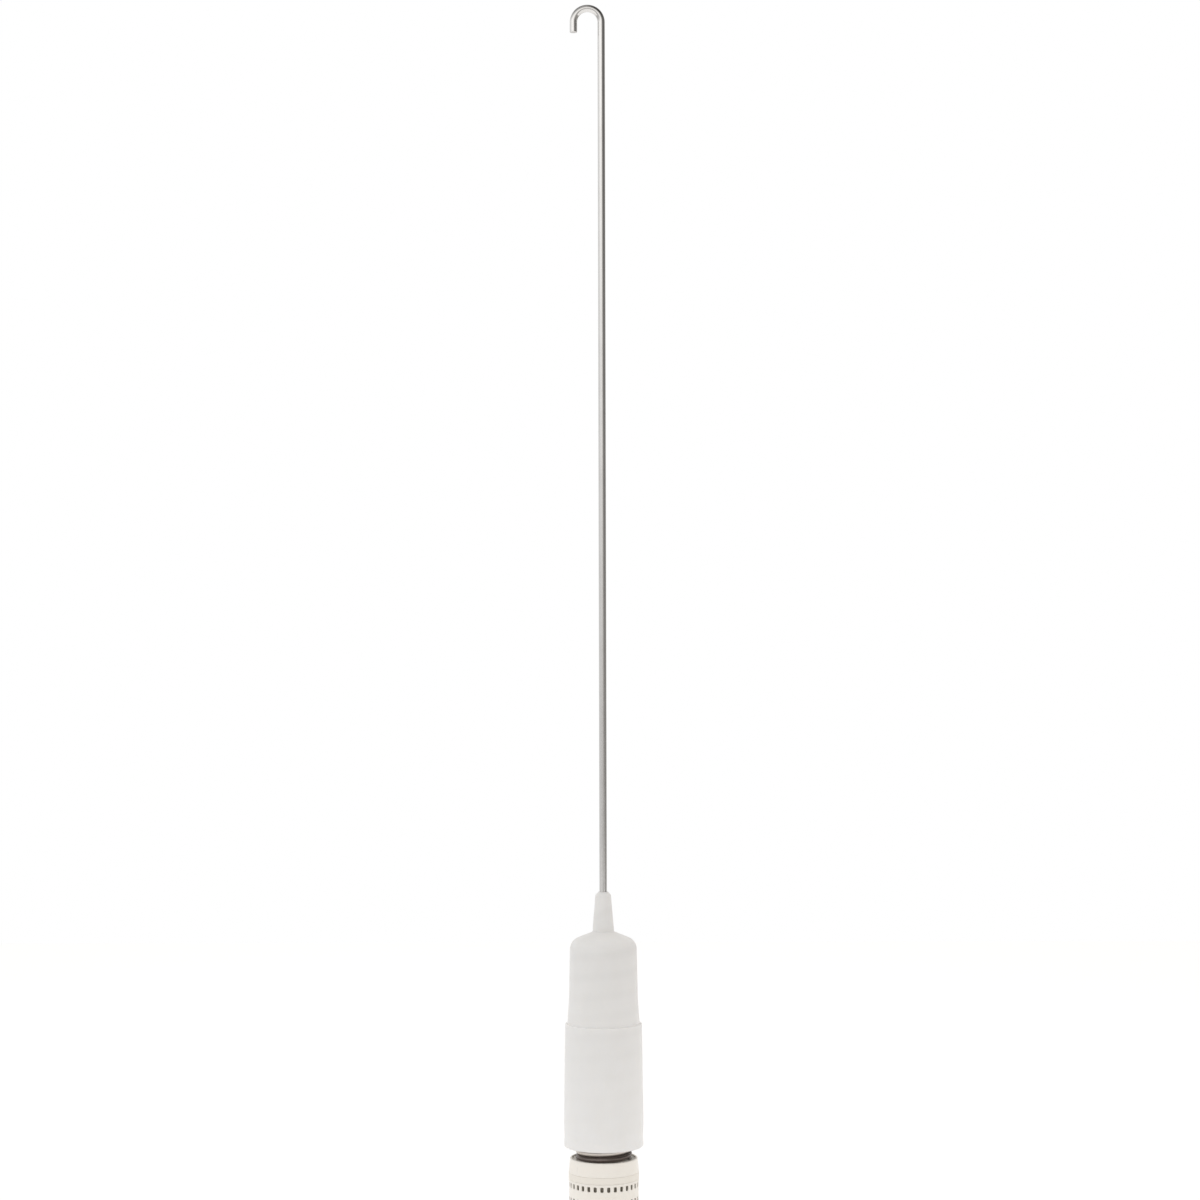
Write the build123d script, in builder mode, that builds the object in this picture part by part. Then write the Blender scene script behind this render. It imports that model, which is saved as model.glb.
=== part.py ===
from build123d import *
import math
import os

# Suspension rod with a sliding, spring-loaded damper housing.
# Millimetres, +Z up. The origin is the hook's bearing point: the top of the
# inside of the hook. The shank hangs from it, one bend radius towards +X.

# ---- Rod ----
rod_diameter = 4.0
hook_bend_radius = 7.5
hook_leg = 5.5
tip_chamfer = 0.35
head_radius = 4.2
head_height = 2.6
head_chamfer = 0.6
washer_radius = 6.0
washer_height = 1.2

# ---- Overall heights ----
drop_to_seat = 619.5
skirt_length = 111.6

# ---- Spring ----
wire_diameter = 3.2
spring_outer_radius = 15.25
spring_free_length = 114.8
closed_turns = 2.0
active_turns = 9.6
closed_turn_gap = 0.04
ground_share = 0.25
pitch_blend_turns = 0.5
points_per_turn = 12
tip_angle = -18.0

# ---- Fits ----
running_fit = 0.05
loose_fit = 0.3
coil_fit = 0.3
piston_fit = 0.35
chamber_fit = 1.05

# ---- Housing ----
wall = 1.6
crown_wall = 1.8
barrel_wall_top = 1.4
barrel_wall_rim = 2.1
ledge_width = 2.65
chamber_depth = 47.1
chamber_draft = 0.6
chamber_corner = 5.6
crown_rise = 2.4
crown_drop = 5.0
crown_corner = 6.5
neck_height = 21.8
neck_nose_wall = 1.85
neck_nose_chamfer = 2.0
neck_root_wall = 2.0
neck_root_fillet = 0.9
waist_swell = 0.4
waist_drop = 19.8
step_fillet = 0.35
rim_bead_height = 4.6
rim_bead_relief = 0.25
rim_fillet = 1.6
rim_bead_taper = 3

# ---- Friction bush and its ring ----
bush_wall = 1.7
bush_length = 12.7
bush_collar_width = 2.4
bush_collar_height = 1.5
finger_length = 8.3
finger_slot = 0.8
finger_count = 4
ring_section_radius = 0.9
ring_groove_depth = 0.55
ring_drop = 5.3

# ---- Upper spring seat ----
seat_flange = 1.8
seat_hub_height = 1.7
seat_collar_height = 3.6
seat_hole_margin = 0.9
seat_rim_margin = 0.5
seat_edge_fillet = 0.5

# ---- Base ----
rim_lip_height = 0.6
rim_lip_width = 1.2
rim_radius_drop = 0.8
rim_edge_fillet = 0.9
collar_height = 7.6
band_height = 5.0
ribbed_radius_drop = 0.2
pocket_count = 32
pocket_start = 8.0
pocket_width = 1.8
pocket_depth = 1.5
pocket_height = 2.8
hoop_height = 5.0
foot_height = 2.9
foot_chamfer = 0.5
deck_thickness = 3.0
base_wall = 3.2
boss_height = 4.0
boss_wall = 2.0
boss_chamfer = 0.8
hub_radius = 5.5
hub_length = 19.0
drain_count = 4
drain_radius = 1.4
web_count = 6
web_thickness = 1.6
web_height = 10.0
web_overlap = 0.4

# ---- Piston ring ----
piston_ring_height = 3.7
piston_ring_depth = 1.5
piston_ring_proud = 0.05
piston_ring_split = 0.8
piston_ring_fit = 0.05

# ---- Radii that follow ----
rod_radius = rod_diameter / 2
bend_z = rod_radius - hook_bend_radius
tip_z = bend_z - hook_leg
rod_bore = rod_radius + running_fit
coil_radius = spring_outer_radius - wire_diameter / 2
coil_inner_radius = spring_outer_radius - wire_diameter
chamber_radius = spring_outer_radius + chamber_fit
shoulder_radius = chamber_radius + wall
piston_radius = chamber_radius + ledge_width
bore_radius = piston_radius + piston_fit
barrel_radius = bore_radius + barrel_wall_top
barrel_rim_radius = bore_radius + barrel_wall_rim
rim_radius = piston_radius - rim_radius_drop
boss_radius = coil_inner_radius - coil_fit
bush_radius = rod_bore + bush_wall
bush_collar_radius = bush_radius + bush_collar_width
ring_groove_radius = bush_radius - ring_groove_depth
pocket_radius = bush_radius + running_fit
nose_hole_radius = rod_radius + loose_fit
nose_radius = nose_hole_radius + neck_nose_wall
neck_root_radius = pocket_radius + neck_root_wall

# ---- Heights that follow ----
seat_z = -drop_to_seat
spring_top_z = seat_z + spring_free_length
seat_flange_z = spring_top_z + seat_flange
dome_z = seat_flange_z + seat_hub_height
crown_z = dome_z + crown_wall
neck_root_z = crown_z + crown_rise
shoulder_z = neck_root_z - crown_drop
neck_top_z = neck_root_z + neck_height
bush_top_z = dome_z + bush_length
ledge_z = dome_z - chamber_depth
housing_rim_z = dome_z - skirt_length
rim_top_z = seat_z + rim_lip_height
band_top_z = rim_top_z - collar_height
band_bottom_z = band_top_z - band_height
hoop_top_z = band_bottom_z - pocket_height
hoop_bottom_z = hoop_top_z - hoop_height
foot_top_z = hoop_bottom_z - pocket_height
foot_z = foot_top_z - foot_height
deck_z = seat_z - deck_thickness
hub_z = seat_z - hub_length
head_top_z = hub_z - washer_height
head_z = head_top_z - head_height

os.makedirs("parts", exist_ok=True)

rod_axis = Axis((hook_bend_radius, 0, 0), (0, 0, 1))
side = Plane(origin=(hook_bend_radius, 0, 0), x_dir=(1, 0, 0), z_dir=(0, -1, 0))


def level(height):
    """Horizontal plane centred on the rod at this height."""
    return Plane((hook_bend_radius, 0, height))


def ring_edge(block, radius, height):
    """The round edge of this block nearest to a radius and a height."""
    rings = block.edges().filter_by(GeomType.CIRCLE)
    return min(rings, key=lambda ring: abs(ring.radius - radius) + abs(ring.center().Z - height))


# ---- Shank of the rod with its upset head ----
with BuildPart() as rod_shank:
    with BuildSketch(level(head_top_z)):
        Circle(rod_radius)
    extrude(amount=bend_z - head_top_z)
    with BuildSketch(level(head_top_z)):
        Circle(head_radius)
    extrude(amount=-head_height)
    chamfer(ring_edge(rod_shank, head_radius, head_z), head_chamfer)

rod_shank.part.label = "rod_shank"
export_step(rod_shank.part, "parts/rod_shank.step")


# ---- Hook: half-round bend and short leg, the same wire as the shank ----
with BuildPart() as rod_hook:
    with BuildLine(Plane.XZ):
        CenterArc((0, bend_z), hook_bend_radius, 0, 180)
        Line((-hook_bend_radius, bend_z), (-hook_bend_radius, tip_z))
    with BuildSketch(level(bend_z)):
        Circle(rod_radius)
    sweep()
    chamfer(ring_edge(rod_hook, rod_radius, tip_z), tip_chamfer)

rod_hook.part.label = "rod_hook"
export_step(rod_hook.part, "parts/rod_hook.step")


# ---- Thrust washer on the head, under the base's hub ----
with BuildPart() as thrust_washer:
    with BuildSketch(level(hub_z)):
        Circle(washer_radius)
        Circle(rod_bore, mode=Mode.SUBTRACT)
    extrude(amount=-washer_height)

thrust_washer.part.label = "thrust_washer"
export_step(thrust_washer.part, "parts/thrust_washer.step")


# ---- Base: piston and spring cup with a pocketed skirt ----
skirt_radius = piston_radius - ribbed_radius_drop
skirt_inner_radius = skirt_radius - base_wall

with BuildPart() as damper_base:
    with BuildSketch(side):
        with BuildLine():
            Polyline(
                (rod_bore, hub_z),
                (hub_radius, hub_z),
                (hub_radius, deck_z),
                (skirt_inner_radius, deck_z),
                (skirt_inner_radius, foot_z),
                (skirt_radius, foot_z),
                (skirt_radius, band_bottom_z),
                (piston_radius, band_bottom_z),
                (piston_radius, band_top_z),
                (rim_radius, rim_top_z),
                (rim_radius - rim_lip_width, rim_top_z),
                (rim_radius - rim_lip_width, seat_z),
                (boss_radius, seat_z),
                (boss_radius, seat_z + boss_height),
                (boss_radius - boss_wall, seat_z + boss_height),
                (boss_radius - boss_wall, seat_z),
                (hub_radius, seat_z),
                (hub_radius, seat_z + boss_height),
                (rod_bore, seat_z + boss_height),
                close=True,
            )
        make_face()
    revolve(axis=rod_axis)

    chamfer(ring_edge(damper_base, hub_radius, seat_z + boss_height), boss_chamfer)
    chamfer(ring_edge(damper_base, boss_radius, seat_z + boss_height), boss_chamfer)
    fillet(ring_edge(damper_base, rim_radius, rim_top_z), rim_edge_fillet)
    chamfer(ring_edge(damper_base, skirt_radius, foot_z), foot_chamfer)

    with BuildSketch(level(band_top_z)):
        Circle(piston_radius)
        Circle(piston_radius - piston_ring_depth, mode=Mode.SUBTRACT)
    extrude(amount=-piston_ring_height, mode=Mode.SUBTRACT)

    for row_top in (band_bottom_z, hoop_bottom_z):
        with BuildSketch(level(row_top)):
            with PolarLocations(skirt_radius, pocket_count, start_angle=pocket_start):
                Rectangle(2 * pocket_depth, pocket_width)
        extrude(amount=-pocket_height, mode=Mode.SUBTRACT)

    with BuildSketch(level(seat_z)):
        with PolarLocations((hub_radius + boss_radius - boss_wall) / 2, drain_count):
            Circle(drain_radius)
    extrude(amount=-deck_thickness, mode=Mode.SUBTRACT)

    with BuildSketch(level(deck_z)):
        with PolarLocations((hub_radius + skirt_inner_radius) / 2, web_count, start_angle=180 / web_count):
            Rectangle(skirt_inner_radius - hub_radius + 2 * web_overlap, web_thickness)
    extrude(amount=-web_height)

damper_base.part.label = "damper_base"
export_step(damper_base.part, "parts/damper_base.step")


# ---- Piston ring: split ring in the base's groove ----
with BuildPart() as piston_ring:
    with BuildSketch(level(band_top_z - piston_ring_fit)):
        Circle(piston_radius + piston_ring_proud)
        Circle(piston_radius - piston_ring_depth + piston_ring_fit, mode=Mode.SUBTRACT)
        with Locations((0, piston_radius)):
            Rectangle(piston_ring_split, 2 * base_wall, mode=Mode.SUBTRACT)
    extrude(amount=-(piston_ring_height - 2 * piston_ring_fit))

piston_ring.part.label = "piston_ring"
export_step(piston_ring.part, "parts/piston_ring.step")


# ---- Coil spring: round wire, closed and ground ends ----
ground_depth = wire_diameter * ground_share
closed_pitch = wire_diameter + closed_turn_gap
total_turns = 2 * closed_turns + active_turns
coil_rise = spring_free_length + 2 * (wire_diameter / 2 - ground_depth)
active_pitch = (coil_rise - 2 * closed_turns * closed_pitch) / active_turns


def blended_turns(turns):
    """Turns of full pitch gained once the pitch starts to open at zero."""
    if turns <= 0:
        return 0.0
    if turns >= pitch_blend_turns:
        return turns - pitch_blend_turns / 2
    share = turns / pitch_blend_turns
    return pitch_blend_turns * (share**3 - share**4 / 2)


def coil_point(turn):
    """Point on the wire's centreline after this many turns from the lower tip."""
    opened = blended_turns(turn - closed_turns + pitch_blend_turns / 2)
    closed_again = blended_turns(turn - total_turns + closed_turns + pitch_blend_turns / 2)
    rise = closed_pitch * turn + (active_pitch - closed_pitch) * (opened - closed_again)
    angle = math.radians(tip_angle) + 2 * math.pi * turn
    return (
        hook_bend_radius + coil_radius * math.cos(angle),
        coil_radius * math.sin(angle),
        seat_z + ground_depth - wire_diameter / 2 + rise,
    )


coil_steps = round(total_turns * points_per_turn)
coil_points = [coil_point(total_turns * step / coil_steps) for step in range(coil_steps + 1)]

with BuildPart() as coil_spring:
    with BuildLine() as coil_line:
        Spline(*coil_points)
    with BuildSketch(Plane(origin=coil_line.line @ 0, z_dir=coil_line.line % 0)):
        Circle(wire_diameter / 2)
    sweep(is_frenet=True)
    for end_z, end_direction in ((seat_z, -1), (spring_top_z, 1)):
        with BuildSketch(level(end_z)):
            Circle(spring_outer_radius + wire_diameter)
        extrude(amount=end_direction * 2 * wire_diameter, mode=Mode.SUBTRACT)

coil_spring.part.label = "coil_spring"
export_step(coil_spring.part, "parts/coil_spring.step")


# ---- Upper spring seat: flanged ring between the spring and the dome ----
seat_hole_radius = bush_collar_radius + seat_hole_margin
seat_rim_radius = chamber_radius - wall - seat_rim_margin

with BuildPart() as upper_spring_seat:
    with BuildSketch(side):
        with BuildLine():
            Polyline(
                (seat_hole_radius, spring_top_z - seat_collar_height),
                (boss_radius, spring_top_z - seat_collar_height),
                (boss_radius, spring_top_z),
                (seat_rim_radius, spring_top_z),
                (seat_rim_radius, seat_flange_z),
                (boss_radius, seat_flange_z),
                (boss_radius - seat_hub_height, dome_z),
                (seat_hole_radius, dome_z),
                close=True,
            )
        make_face()
    revolve(axis=rod_axis)
    fillet(ring_edge(upper_spring_seat, seat_rim_radius, seat_flange_z), seat_edge_fillet)
    fillet(ring_edge(upper_spring_seat, seat_rim_radius, spring_top_z), seat_edge_fillet)
    chamfer(ring_edge(upper_spring_seat, boss_radius, spring_top_z - seat_collar_height), boss_chamfer)

upper_spring_seat.part.label = "upper_spring_seat"
export_step(upper_spring_seat.part, "parts/upper_spring_seat.step")


# ---- Friction bush: collared sleeve with slotted fingers round the rod ----
collar_bottom_z = dome_z - bush_collar_height
finger_z = collar_bottom_z - finger_length
ring_z = collar_bottom_z - ring_drop

with BuildPart() as friction_bush:
    with BuildSketch(level(finger_z)):
        Circle(bush_radius)
    extrude(amount=bush_top_z - finger_z)
    with BuildSketch(level(collar_bottom_z)):
        Circle(bush_collar_radius)
    extrude(amount=bush_collar_height)
    with BuildSketch(level(ring_z - ring_section_radius)):
        Circle(bush_radius)
        Circle(ring_groove_radius, mode=Mode.SUBTRACT)
    extrude(amount=2 * ring_section_radius, mode=Mode.SUBTRACT)
    with BuildSketch(level(finger_z)):
        with PolarLocations(0, finger_count // 2, angular_range=180):
            Rectangle(2 * bush_collar_radius, finger_slot)
    extrude(amount=finger_length, mode=Mode.SUBTRACT)
    with BuildSketch(level(finger_z)):
        Circle(rod_bore)
    extrude(amount=bush_top_z - finger_z, mode=Mode.SUBTRACT)

friction_bush.part.label = "friction_bush"
export_step(friction_bush.part, "parts/friction_bush.step")


# ---- Rubber ring that squeezes the bush's fingers ----
with BuildPart() as bush_o_ring:
    with BuildSketch(side):
        with Locations((ring_groove_radius + ring_section_radius, ring_z)):
            Circle(ring_section_radius - running_fit)
    revolve(axis=rod_axis)

bush_o_ring.part.label = "bush_o_ring"
export_step(bush_o_ring.part, "parts/bush_o_ring.step")


# ---- Housing: neck, crown, spring chamber, step and barrel in one moulding ----
waist_radius = shoulder_radius + waist_swell
step_z = ledge_z + crown_wall
flare_radius = barrel_radius - wall + waist_swell
shoulder = (shoulder_radius, shoulder_z)
waist = (waist_radius, shoulder_z - waist_drop)

with BuildPart() as damper_housing:
    with BuildSketch(side):
        with BuildLine():
            Polyline(
                (nose_hole_radius, bush_top_z),
                (nose_hole_radius, neck_top_z),
                (nose_radius, neck_top_z - neck_nose_chamfer),
                (neck_root_radius, neck_root_z),
                shoulder,
                waist,
            )
            TangentArc(waist, (flare_radius, step_z), tangent=Vector(*waist) - Vector(*shoulder))
            Polyline(
                (flare_radius, step_z),
                (barrel_radius, step_z),
                (barrel_rim_radius, housing_rim_z + rim_bead_taper * rim_bead_height),
                (barrel_rim_radius - rim_bead_relief, housing_rim_z + rim_bead_height),
                (barrel_rim_radius, housing_rim_z + rim_bead_height / 2),
                (barrel_rim_radius, housing_rim_z),
                (bore_radius, housing_rim_z),
                (bore_radius, ledge_z),
                (chamber_radius + chamber_draft, ledge_z),
                (chamber_radius, dome_z - chamber_corner),
            )
            RadiusArc(
                (chamber_radius, dome_z - chamber_corner),
                (chamber_radius - chamber_corner, dome_z),
                -chamber_corner,
            )
            Polyline(
                (chamber_radius - chamber_corner, dome_z),
                (pocket_radius, dome_z),
                (pocket_radius, bush_top_z),
                (nose_hole_radius, bush_top_z),
            )
        make_face()
    revolve(axis=rod_axis)
    fillet(ring_edge(damper_housing, barrel_rim_radius, housing_rim_z), rim_fillet)
    fillet(ring_edge(damper_housing, barrel_radius, step_z), step_fillet)
    fillet(ring_edge(damper_housing, flare_radius, step_z), step_fillet)
    fillet(ring_edge(damper_housing, neck_root_radius, neck_root_z), neck_root_fillet)
    fillet(ring_edge(damper_housing, shoulder_radius, shoulder_z), crown_corner)

damper_housing.part.label = "damper_housing"
export_step(damper_housing.part, "parts/damper_housing.step")
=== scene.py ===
"""Looks of a hooked suspension rod with its sliding damper housing, coil spring and base cup."""

import logging
import math
from dataclasses import dataclass
from enum import Enum
from typing import Sequence

import bpy
import numpy as np
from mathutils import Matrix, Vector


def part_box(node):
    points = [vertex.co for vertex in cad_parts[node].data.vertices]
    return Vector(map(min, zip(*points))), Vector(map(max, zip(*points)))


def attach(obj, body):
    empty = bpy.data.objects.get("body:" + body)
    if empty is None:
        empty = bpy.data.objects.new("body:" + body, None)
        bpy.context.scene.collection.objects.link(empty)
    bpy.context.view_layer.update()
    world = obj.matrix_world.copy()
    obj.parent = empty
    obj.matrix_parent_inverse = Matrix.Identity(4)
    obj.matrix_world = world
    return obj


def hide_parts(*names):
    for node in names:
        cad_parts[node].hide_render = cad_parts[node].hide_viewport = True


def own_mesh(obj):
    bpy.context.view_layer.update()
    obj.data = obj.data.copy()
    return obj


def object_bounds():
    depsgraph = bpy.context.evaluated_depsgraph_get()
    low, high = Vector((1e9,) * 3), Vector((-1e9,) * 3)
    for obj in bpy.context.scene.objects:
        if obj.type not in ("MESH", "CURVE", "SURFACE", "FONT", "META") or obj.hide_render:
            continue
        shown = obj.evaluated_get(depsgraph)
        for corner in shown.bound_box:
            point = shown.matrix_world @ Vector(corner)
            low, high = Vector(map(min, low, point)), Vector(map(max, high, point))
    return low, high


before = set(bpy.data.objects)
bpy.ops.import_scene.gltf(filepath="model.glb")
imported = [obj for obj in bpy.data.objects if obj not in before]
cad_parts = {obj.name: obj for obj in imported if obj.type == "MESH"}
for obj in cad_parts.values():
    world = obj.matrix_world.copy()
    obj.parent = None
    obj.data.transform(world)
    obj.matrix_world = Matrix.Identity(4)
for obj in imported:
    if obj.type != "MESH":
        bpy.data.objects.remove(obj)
cad_low, cad_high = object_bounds()

MM = 0.001
FULL_TURN = 2 * math.pi
SHARP_ANGLE = math.radians(34)

HIGH_ROOM = (
    (-180, 0.65), (-85, 0.65), (-55, 0.9), (-22, 1.0), (8, 0.82),
    (32, 0.14), (105, 0.09), (140, 0.4), (180, 0.65),
)
LOW_ROOM = (
    (-180, 0.52), (-108, 0.54), (-65, 0.46), (-31, 0.38), (5, 0.38),
    (35, 0.29), (65, 0.21), (108, 0.22), (180, 0.52),
)

LAMPS = (
    ("key", (-1.2, -0.8, 0.6), 0.9, 2.6),
    ("fill", (1.3, -0.5, 0.1), 1.0, 1.4),
    ("back", (-0.1, 1.2, 0.9), 1.0, 1.2),
)

log = logging.getLogger("suspension_rod")

Colour = tuple[float, float, float]
Corner = tuple[float, float, float]


class Winding(Enum):
    """Which directions of a grid of points close on themselves: its rows, its columns."""

    TUBE = (False, True)
    RING = (True, True)


class Shells:
    """Closed shells that are gathered into one mesh."""

    def __init__(self) -> None:
        """Starts with no shell."""
        self.points: list[np.ndarray] = []
        self.quads: list[np.ndarray] = []
        self.triangles: list[np.ndarray] = []
        self.quad_maps: list[np.ndarray] = []
        self.count = 0

    def add(self, points: np.ndarray, winding: Winding, along: np.ndarray, around: np.ndarray) -> None:
        """Adds one closed shell and turns its faces outwards.

        A quad joins each point to the next one in its row and in its column. The two end
        rows of a tube are each closed by a fan about their mean point. The shell's signed
        volume is a sixth of the sum, over its triangles, of the triple product of their
        corners; a negative volume turns every face over.

        Args:
            points: Grid of points, rows by columns by three.
            winding: Which directions of the grid close on themselves.
            along: Map coordinate of each row, in metres, with one more entry if rows close.
            around: Map coordinate of each column, in metres, with one more entry.
        """
        rows, columns = points.shape[:2]
        rows_close = winding.value[0]
        row = np.arange(rows if rows_close else rows - 1)[:, None]
        column = np.arange(columns)[None, :]
        steps = ((0, 0), (1, 0), (1, 1), (0, 1))
        quads = np.stack([(row + a) % rows * columns + (column + b) % columns for a, b in steps], axis=-1)
        maps = np.stack(
            [np.stack(np.broadcast_arrays(along[row + a], around[column + b]), axis=-1) for a, b in steps],
            axis=-2,
        )
        quads, maps = quads.reshape(-1, 4), maps.reshape(-1, 4, 2)
        flat = points.reshape(-1, 3)
        triangles = np.zeros((0, 3), int)
        if not rows_close:
            here, after = column[0], (column[0] + 1) % columns
            last = (rows - 1) * columns
            start = np.stack([np.full(columns, len(flat)), here, after], axis=-1)
            end = np.stack([np.full(columns, len(flat) + 1), last + after, last + here], axis=-1)
            triangles = np.concatenate([start, end])
            flat = np.concatenate([flat, [points[0].mean(0)], [points[-1].mean(0)]])
        split = np.concatenate([quads[:, :3], quads[:, [0, 2, 3]], triangles])
        first, second, third = flat[split[:, 0]], flat[split[:, 1]], flat[split[:, 2]]
        if np.einsum("ij,ij->", first, np.cross(second, third)) < 0:
            quads, maps, triangles = quads[:, ::-1], maps[:, ::-1], triangles[:, ::-1]
        self.points.append(flat)
        self.quads.append(quads + self.count)
        self.triangles.append(triangles + self.count)
        self.quad_maps.append(maps)
        self.count += len(flat)

    def piece(self, name: str) -> bpy.types.Object:
        """Puts the shells into one smooth object at the origin.

        Args:
            name: The piece's name.

        Returns:
            The object, linked to the scene.
        """
        points = np.concatenate(self.points)
        quads, triangles = np.concatenate(self.quads), np.concatenate(self.triangles)
        corners = np.concatenate([quads.ravel(), triangles.ravel()])
        sizes = np.concatenate([np.full(len(quads), 4), np.full(len(triangles), 3)])
        maps = np.concatenate([np.concatenate(self.quad_maps).reshape(-1, 2), np.zeros((triangles.size, 2))])
        mesh = bpy.data.meshes.new(name)
        mesh.vertices.add(len(points))
        mesh.vertices.foreach_set("co", points.astype(np.float32).ravel())
        mesh.loops.add(len(corners))
        mesh.loops.foreach_set("vertex_index", corners.astype(np.int32))
        mesh.polygons.add(len(sizes))
        mesh.polygons.foreach_set("loop_start", np.concatenate([[0], np.cumsum(sizes)[:-1]]).astype(np.int32))
        mesh.update(calc_edges=True)
        mesh.uv_layers.new(name="surface").data.foreach_set("uv", maps.astype(np.float32).ravel())
        mesh.shade_smooth()
        mesh.set_sharp_from_angle(angle=SHARP_ANGLE)
        mesh.validate()
        made = bpy.data.objects.new(name, mesh)
        bpy.context.collection.objects.link(made)
        return made


def rounded(corners: Sequence[Corner], steps: int = 6, support: float = 0.12 * MM) -> np.ndarray:
    """Closed outline whose corners are rounded.

    A corner's arc touches both sides one setback away from the corner: its radius over the
    tangent of half the angle between the sides. The arc's centre lies on the bisector, the
    radius over the sine of that half angle away. A point is added just past each end of the
    arc, which keeps the sides flat. Points that fall together are kept once.

    Args:
        corners: Radius, height and rounding of each corner, in metres.
        steps: Points on each arc.
        support: How far past the arc the extra points lie.

    Returns:
        Points of the outline as radius and height.
    """
    table = np.array(corners, float)
    points, rounding = table[:, :2], table[:, 2]
    back, on = np.roll(points, 1, axis=0) - points, np.roll(points, -1, axis=0) - points
    back_length, on_length = np.linalg.norm(back, axis=1), np.linalg.norm(on, axis=1)
    back, on = back / back_length[:, None], on / on_length[:, None]
    half = np.arccos(np.clip((back * on).sum(1), -1, 1)) / 2
    room = 0.46 * np.minimum(back_length, on_length)
    setback = np.minimum(rounding / np.tan(half), room)
    turned = (rounding > 0) & (half < math.pi / 2 - 1e-4)
    setback = np.where(turned, setback, 0)
    bisector = (back + on) / np.maximum(np.linalg.norm(back + on, axis=1), 1e-9)[:, None]
    centre = points + bisector * (setback * np.tan(half) / np.sin(half))[:, None] * turned[:, None]
    start = points + back * setback[:, None] - centre
    end = points + on * setback[:, None] - centre
    sweep = np.where(turned, math.pi - 2 * half, 1.0)[:, None]
    share = np.linspace(0, 1, steps)[None, :]
    arc = (
        centre[:, None]
        + (np.sin((1 - share) * sweep) / np.sin(sweep))[..., None] * start[:, None]
        + (np.sin(share * sweep) / np.sin(sweep))[..., None] * end[:, None]
    )
    arc = np.where(turned[:, None, None], arc, points[:, None])
    margin = np.where(turned, np.minimum(setback + support, room * 1.05), 0)[:, None]
    outline = np.concatenate(
        [(points + back * margin)[:, None], arc, (points + on * margin)[:, None]], axis=1
    )
    outline = outline.reshape(-1, 2)
    gap = np.linalg.norm(outline - np.roll(outline, 1, axis=0), axis=1)
    return outline[gap > 1e-3 * MM]


def gathered(x: np.ndarray, y: np.ndarray, z: np.ndarray) -> np.ndarray:
    """Points from three coordinates that broadcast together, with the coordinates last."""
    return np.stack(np.broadcast_arrays(x, y, z), axis=-1)


def path_lengths(points: np.ndarray) -> np.ndarray:
    """Length of a closed outline up to each point, with the whole length last.

    Args:
        points: Points of the outline, one row each.

    Returns:
        Running length, with one entry more than there are points.
    """
    steps = np.linalg.norm(np.roll(points, -1, axis=0) - points, axis=1)
    return np.concatenate([[0], np.cumsum(steps)])


@dataclass(frozen=True)
class RodAxis:
    """The vertical axis that every round piece shares."""

    x: float

    def place(self, radius: np.ndarray, angle: np.ndarray, height: np.ndarray) -> np.ndarray:
        """Points at a radius, an angle from +X and a height: x is the axis plus radius times
        the cosine, y is radius times the sine.

        Args:
            radius: Distances from the axis.
            angle: Angles about the axis.
            height: Heights.

        Returns:
            Points, with their three coordinates last.
        """
        return gathered(self.x + radius * np.cos(angle), radius * np.sin(angle), height)

    def ring(self, shells: Shells, outline: np.ndarray, columns: int) -> None:
        """Adds an outline turned once round the axis.

        Args:
            shells: Where the shell goes.
            outline: Closed outline as radius and height.
            columns: Steps in the full turn.
        """
        angle = np.arange(columns) * FULL_TURN / columns
        points = self.place(outline[:, :1], angle[None], outline[:, 1:])
        around = np.linspace(0, FULL_TURN * outline[:, 0].max(), columns + 1)
        shells.add(points, Winding.RING, path_lengths(outline), around)

    def part_ring(
        self, shells: Shells, outline: np.ndarray, middle: float, half: np.ndarray, rows: int
    ) -> None:
        """Adds an outline turned part of the way round, closed by a flat face at each end.

        Args:
            shells: Where the shell goes.
            outline: Closed outline as radius and height.
            middle: Angle of the middle of the turn.
            half: Half of the turn at each point of the outline.
            rows: Steps in the turn.
        """
        share = np.linspace(-1, 1, rows)[:, None]
        points = self.place(outline[None, :, 0], middle + share * half[None], outline[None, :, 1])
        along = np.linspace(0, FULL_TURN * outline[:, 0].max(), rows)
        shells.add(points, Winding.TUBE, along, path_lengths(outline))

    def turned(self, name: str, columns: int, corners: Sequence[Corner]) -> bpy.types.Object:
        """Builds a whole piece from one rounded outline.

        Args:
            name: The piece's name.
            columns: Steps in the full turn.
            corners: The outline's corners.

        Returns:
            The piece.
        """
        shells = Shells()
        self.ring(shells, rounded(corners), columns)
        return shells.piece(name)

    def disc_circle(
        self, shells: Shells, count: int, first: float,
        reach: float, level: float, radius: float, height: float,
    ) -> None:
        """Adds small discs evenly round the axis.

        Args:
            shells: Where the shells go.
            count: How many there are.
            first: Steps from +X to the first one.
            reach: Their distance from the axis.
            level: Height of their feet.
            radius: A disc's radius.
            height: A disc's height.
        """
        for number in range(count):
            turn = (number + first) * FULL_TURN / count
            centre = (self.x + reach * math.cos(turn), reach * math.sin(turn), level)
            self.disc(shells, centre, radius, height)

    def disc(self, shells: Shells, centre: tuple[float, float, float], radius: float, height: float) -> None:
        """Adds a small flat-topped button with a rounded edge, standing along Z.

        Args:
            shells: Where the shell goes.
            centre: Middle of the button's foot.
            radius: Its radius.
            height: Its height, below zero if it stands downwards.
        """
        share = np.array([1.0, 1.0, 0.96, 0.85, 0.3])[:, None]
        lift = np.array([-0.5, 0.5, 0.9, 1.0, 1.0])[:, None] * height
        angle = np.arange(28) * FULL_TURN / 28
        x, y = share * radius * np.cos(angle), share * radius * np.sin(angle)
        points = gathered(centre[0] + x, centre[1] + y, centre[2] + lift)
        shells.add(points, Winding.TUBE, share[:, 0] * radius, np.linspace(0, FULL_TURN * radius, 29))


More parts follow.
